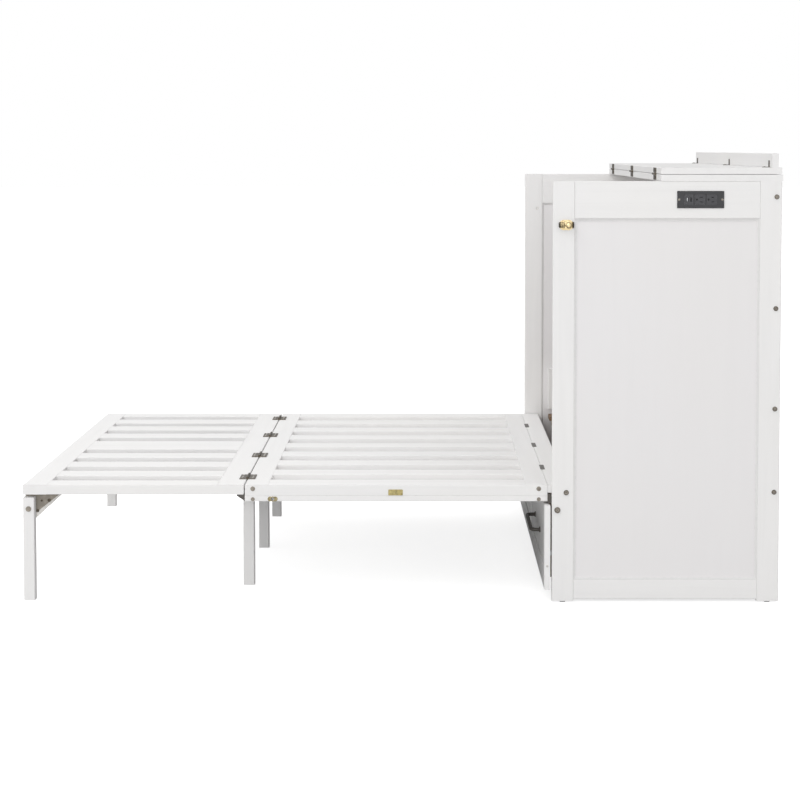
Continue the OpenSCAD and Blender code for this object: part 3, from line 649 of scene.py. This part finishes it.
def bolt_rims(node, radius, head, rise):
    """Blackened washer faces round the heads of a node's bolts, all in mm; head is a head's height."""
    outline = [
        (radius * 0.62, -0.6), (radius + 0.7, -0.6), (radius + 0.7, 0.5), (radius + 0.3, rise),
        (radius * 0.80, rise + 0.2), (radius * 0.62, 0.2)]
    bm = bmesh.new()
    for lo, hi in islands(node):
        side = -1 if hi.y + lo.y < 0 else 1
        outer = lo.y if side < 0 else hi.y
        place = facing((0, side, 0), ((lo.x + hi.x) / 2, outer - side * head * MM, (lo.z + hi.z) / 2))
        skin(bm, [circle(bm, place, r * MM, h * MM, 36) for r, h in outline], closed=True)
    piece(node.replace("bolts", "washers"), bm, bronze, BODY[node], 30)


bolt_rims("side_bolts", 6, 3.5, 2.3)
bolt_rims("stop_bolts", 6.5, 4, 2.6)
bolt_rims("pivot_bolts", 7.6, 5, 3.2)


FLANGE_THICKNESS = 3.5 * MM


def latch_barrel(node):
    """Brass spool and dark caps that lie across the stile on either side of the knob."""
    lo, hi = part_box(node)
    side = -1 if lo[1] < 0 else 1
    stile_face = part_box("latch_flanges")[0 if side < 0 else 1][1] - side * FLANGE_THICKNESS
    place = facing((1, 0, 0), ((lo[0] + hi[0]) / 2, stile_face + side * 3.0 * MM, (lo[2] + hi[2]) / 2))
    name = node.split("_")[-1]
    spool = [
        (0, -22.4), (7.6, -22.4), (9.2, -21.4), (9.6, -19.6), (8.0, -16.4), (8.2, -13.6), (9.4, -11.4),
        (6.0, -10.2), (2.2, -9.4), (2.2, 9.4), (5.0, 9.8), (8.6, 10.6), (0, 11.2)]
    caps = (
        [(0, -26.4), (5.2, -26.4), (7.6, -25.4), (8.6, -23.4), (8.0, -22.2), (0, -22.2)],
        [(0, 11.0), (8.4, 11.0), (9.0, 12.4), (8.0, 14.4), (5.4, 15.4), (0, 15.4)])
    bm = bmesh.new()
    lathe(bm, spool, place, 40)
    piece(f"latch_barrel_{name}", bm, aged_brass, "cabinet", 28)
    bm = bmesh.new()
    for cap in caps:
        lathe(bm, cap, place, 40)
    piece(f"latch_caps_{name}", bm, bronze, "cabinet", 28)


for node in ("latch_pin_right", "latch_pin_left"):
    latch_barrel(node)

# ------------------------------------------------------------------ studio


FLOOR_GLOW = 0.78


def stage_floor():
    """Round floor of the studio, which is not part of the object."""
    bm = bmesh.new()
    bmesh.ops.create_circle(bm, cap_ends=True, radius=60, segments=96)
    mesh = bpy.data.meshes.new("floor")
    bm.to_mesh(mesh)
    bm.free()
    floor = bpy.data.objects.new("floor", mesh)
    bpy.context.scene.collection.objects.link(floor)
    f = Finish("studio_floor", rough=0.85, specular=0.0)
    clouds = f.grey_ramp(f.noise(0.8, detail=2), 0, 1, 0.3, 0.7)
    f.colour(f.mix(clouds, (0.55, 0.55, 0.55), (0.57, 0.57, 0.57)))
    # A light table: it shows white, but throws no more light up at the object than a grey floor would
    seen = f.nodes.new("ShaderNodeLightPath").outputs["Is Camera Ray"]
    f.bsdf.inputs["Emission Color"].default_value = (1, 1, 1, 1)
    f.link(f.math("MULTIPLY", seen, FLOOR_GLOW), f.bsdf.inputs["Emission Strength"])
    mesh.materials.append(f.mat)


def area_light(name, at, aim, size, power):
    """Rectangular light at a point, turned towards another."""
    data = bpy.data.lights.new(name, "AREA")
    data.shape = "RECTANGLE"
    data.size, data.size_y = size
    data.energy = power
    obj = bpy.data.objects.new(name, data)
    bpy.context.scene.collection.objects.link(obj)
    obj.location = at
    obj.rotation_euler = (Vector(aim) - Vector(at)).to_track_quat("-Z", "Y").to_euler()


def studio():
    """White surroundings and the lights."""
    world = bpy.data.worlds.new("studio")
    bpy.context.scene.world = world
    world.use_nodes = True
    nodes, links = world.node_tree.nodes, world.node_tree.links
    # The dome is brightest overhead; what shows behind the object is plain white
    place = nodes.new("ShaderNodeTexCoord")
    split = nodes.new("ShaderNodeSeparateXYZ")
    dome = nodes.new("ShaderNodeMapRange")
    dome.inputs["To Min"].default_value = 0.36
    dome.inputs["To Max"].default_value = 1.07
    seen = nodes.new("ShaderNodeLightPath")
    mix = nodes.new("ShaderNodeMix")
    mix.inputs["B"].default_value = 1.0
    links.new(place.outputs["Generated"], split.inputs["Vector"])
    links.new(split.outputs["Z"], dome.inputs["Value"])
    links.new(seen.outputs["Is Camera Ray"], mix.inputs["Factor"])
    links.new(dome.outputs["Result"], mix.inputs["A"])
    links.new(mix.outputs["Result"], nodes["Background"].inputs["Strength"])
    nodes["Background"].inputs["Color"].default_value = (1, 1, 1, 1)
    area_light("key", (-2.2, -3.8, 4.8), (0.1, 0, 0.4), (3.0, 3.0), 43)
    area_light("front", (-1.2, -14.0, 2.6), (0.4, 0, 0.5), (4.0, 4.0), 560)
    area_light("fill", (3.6, -4.2, 1.8), (0.5, 0, 0.4), (2.5, 2.5), 8)
    area_light("rim", (-1.0, 4.2, 3.6), (0, 0, 0.5), (3.0, 2.0), 40)
    # Stands behind the plane of the near side: it lifts the far side, the deck and the lid's lip, and
    # leaves the near faces as they are
    area_light("side", (-5.0, -0.3, 2.8), (0.8, 0.6, 0.9), (2.0, 2.0), 58)


def camera():
    """A slight downward tilt, and a drop shift that puts the horizon where the photograph has it."""
    lens, sensor = 94.05, 36.0
    pitch = math.radians(3.4)
    horizon = 0.3153
    data = bpy.data.cameras.new("camera")
    data.lens = lens
    data.sensor_width = sensor
    data.shift_x = -0.0304
    data.shift_y = -(horizon - math.tan(pitch) * lens / sensor)
    data.clip_start, data.clip_end = 0.1, 200
    obj = bpy.data.objects.new("camera", data)
    bpy.context.scene.collection.objects.link(obj)
    obj.location = (0.0655, -6.5, 1.251)
    obj.rotation_euler = (math.pi / 2 - pitch, 0, 0)
    bpy.context.scene.camera = obj


stage_floor()
studio()
camera()
bpy.context.scene.view_settings.view_transform = "Standard"
